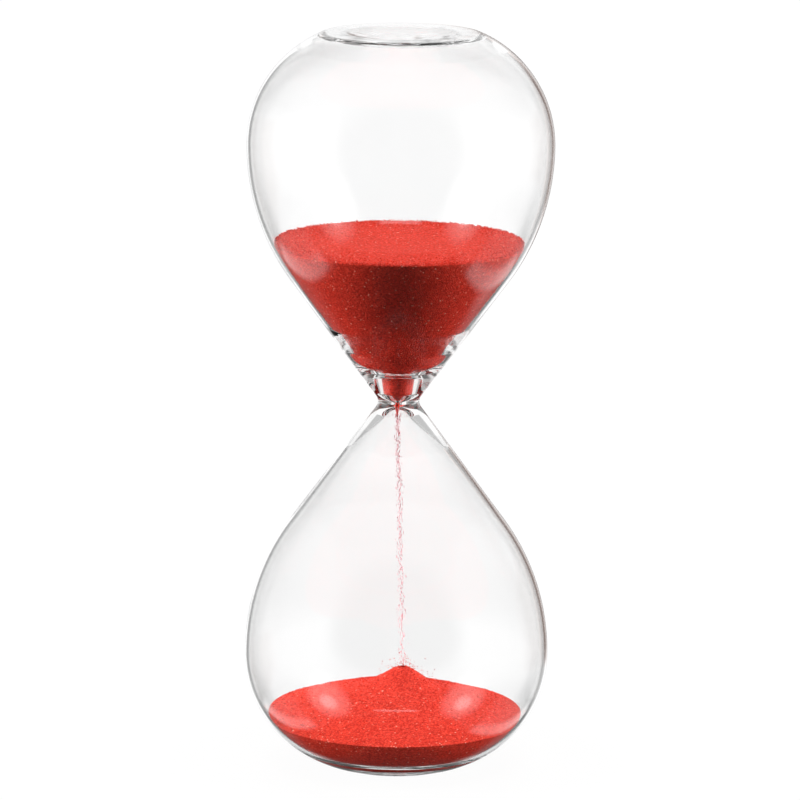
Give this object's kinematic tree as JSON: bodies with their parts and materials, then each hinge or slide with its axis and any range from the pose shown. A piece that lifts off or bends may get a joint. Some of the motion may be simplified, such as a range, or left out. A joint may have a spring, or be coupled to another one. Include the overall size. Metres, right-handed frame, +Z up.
{
  "type": "sand timer",
  "caption": "Frameless hourglass of blown clear glass with flat dished ends and a pinched throat. Red sand sinks in the upper bulb, runs as a thread and heaps up in the lower bulb.",
  "frame": {"origin": "middle of the flat face that the timer stands on", "axes": "+Z up along the axis of the vessel; the vessel is round, so X and Y are alike"},
  "size_m": [0.0618, 0.0618, 0.15],
  "materials": {
    "clear_glass": "polished",
    "red_sand": "matte"
  },
  "bodies": {
    "glass": {"upper_bulb": "clear_glass", "lower_bulb": "clear_glass", "throat": "clear_glass", "top_seal": "clear_glass", "foot_seal": "clear_glass", "upper_sand": "red_sand", "lower_sand": "red_sand"},
    "running_sand": {"sinking_core": "red_sand", "sand_stream": "red_sand"},
    "heap": {"heap_mound": "red_sand"}
  },
  "joints": [
    {"name": "sand_sink", "type": "slide", "parent": "glass", "child": "running_sand", "axis": [0, 0, -1], "range_m": [0, 0.006]},
    {"name": "heap_rise", "type": "slide", "parent": "glass", "child": "heap", "axis": [0, 0, 1], "range_m": [0, 0.006]}
  ],
  "couplings": [
    {"joint": "heap_rise", "follows": "sand_sink", "ratio": 1}
  ]
}
